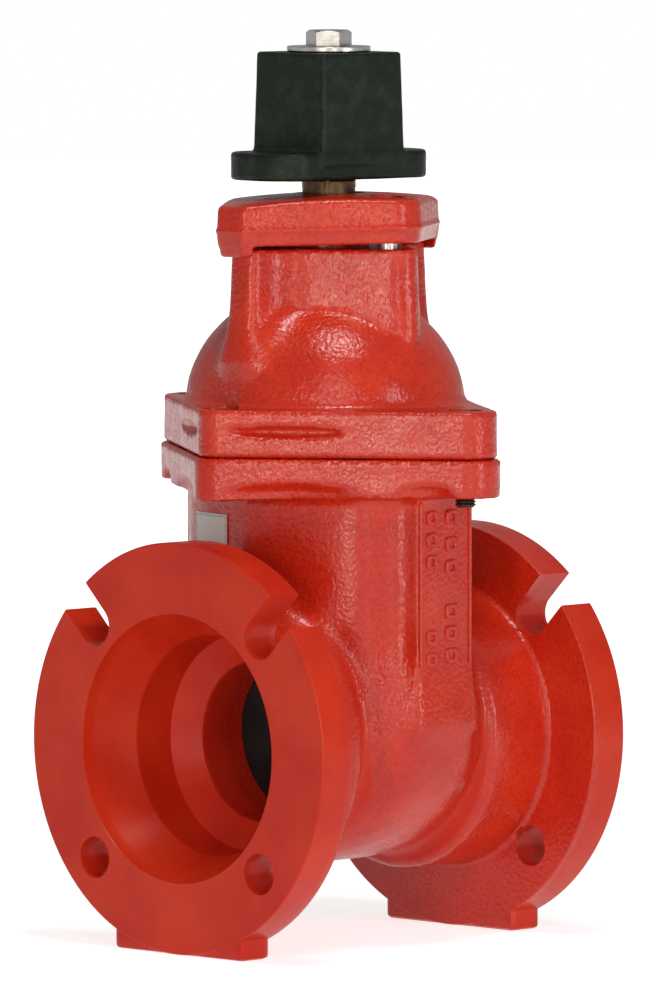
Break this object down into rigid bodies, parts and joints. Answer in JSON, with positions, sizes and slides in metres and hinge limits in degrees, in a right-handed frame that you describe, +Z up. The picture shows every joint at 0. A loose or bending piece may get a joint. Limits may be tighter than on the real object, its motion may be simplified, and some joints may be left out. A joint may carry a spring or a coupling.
{
  "type": "gate valve",
  "caption": "Resilient-wedge gate valve with socketed bolt-on ends, a non-rising stem and a square operating nut.",
  "frame": {"origin": "under the stem axis, on the plane of the two feet", "axes": "+X along the pipe from inlet to outlet, +Z up the stem axis"},
  "size_m": [0.2056, 0.2154, 0.4369],
  "materials": {
    "red_epoxy": "glossy fusion-bonded epoxy over a sand-cast skin",
    "black_iron": "satin black coating on cast iron",
    "stem_bronze": "dull turned bronze",
    "zinc_steel": "zinc-plated",
    "black_rubber": "matt moulded rubber",
    "white_plastic": "matt",
    "label_white": "blank printed film"
  },
  "bodies": {
    "root": {"valve_body": "red_epoxy", "bonnet": "red_epoxy", "bonnet_gasket": "black_rubber", "bonnet_bolt_1": "zinc_steel", "bonnet_bolt_2": "zinc_steel", "bonnet_bolt_3": "zinc_steel", "bonnet_bolt_4": "zinc_steel", "seal_plate": "red_epoxy", "seal_plate_bolt_1": "zinc_steel", "seal_plate_bolt_2": "zinc_steel", "seal_plate_o_ring": "black_rubber", "stem_wiper": "black_rubber", "thrust_washer_lower": "white_plastic", "thrust_washer_upper": "white_plastic", "inspection_label": "label_white"},
    "stem": {"stem": "stem_bronze", "operating_nut": "black_iron", "operating_nut_washer": "zinc_steel", "operating_nut_bolt": "zinc_steel", "stem_o_ring_lower": "black_rubber", "stem_o_ring_upper_1": "black_rubber", "stem_o_ring_upper_2": "black_rubber"},
    "wedge": {"wedge_core": "black_iron", "wedge_rubber": "black_rubber", "wedge_guide_1": "white_plastic", "wedge_guide_2": "white_plastic", "stem_nut": "stem_bronze"}
  },
  "joints": [
    {"name": "stem_turn", "type": "hinge", "parent": "root", "child": "stem", "pos_m": [0, 0, 0.36], "axis": [0, 0, 1], "range_deg": [0, 3870]},
    {"name": "wedge_slide", "type": "slide", "parent": "root", "child": "wedge", "axis": [0, 0, 1], "range_m": [0, 0.0861]}
  ],
  "couplings": [
    {"joint": "wedge_slide", "follows": "stem_turn", "m_per_rad": 0.0012732}
  ]
}
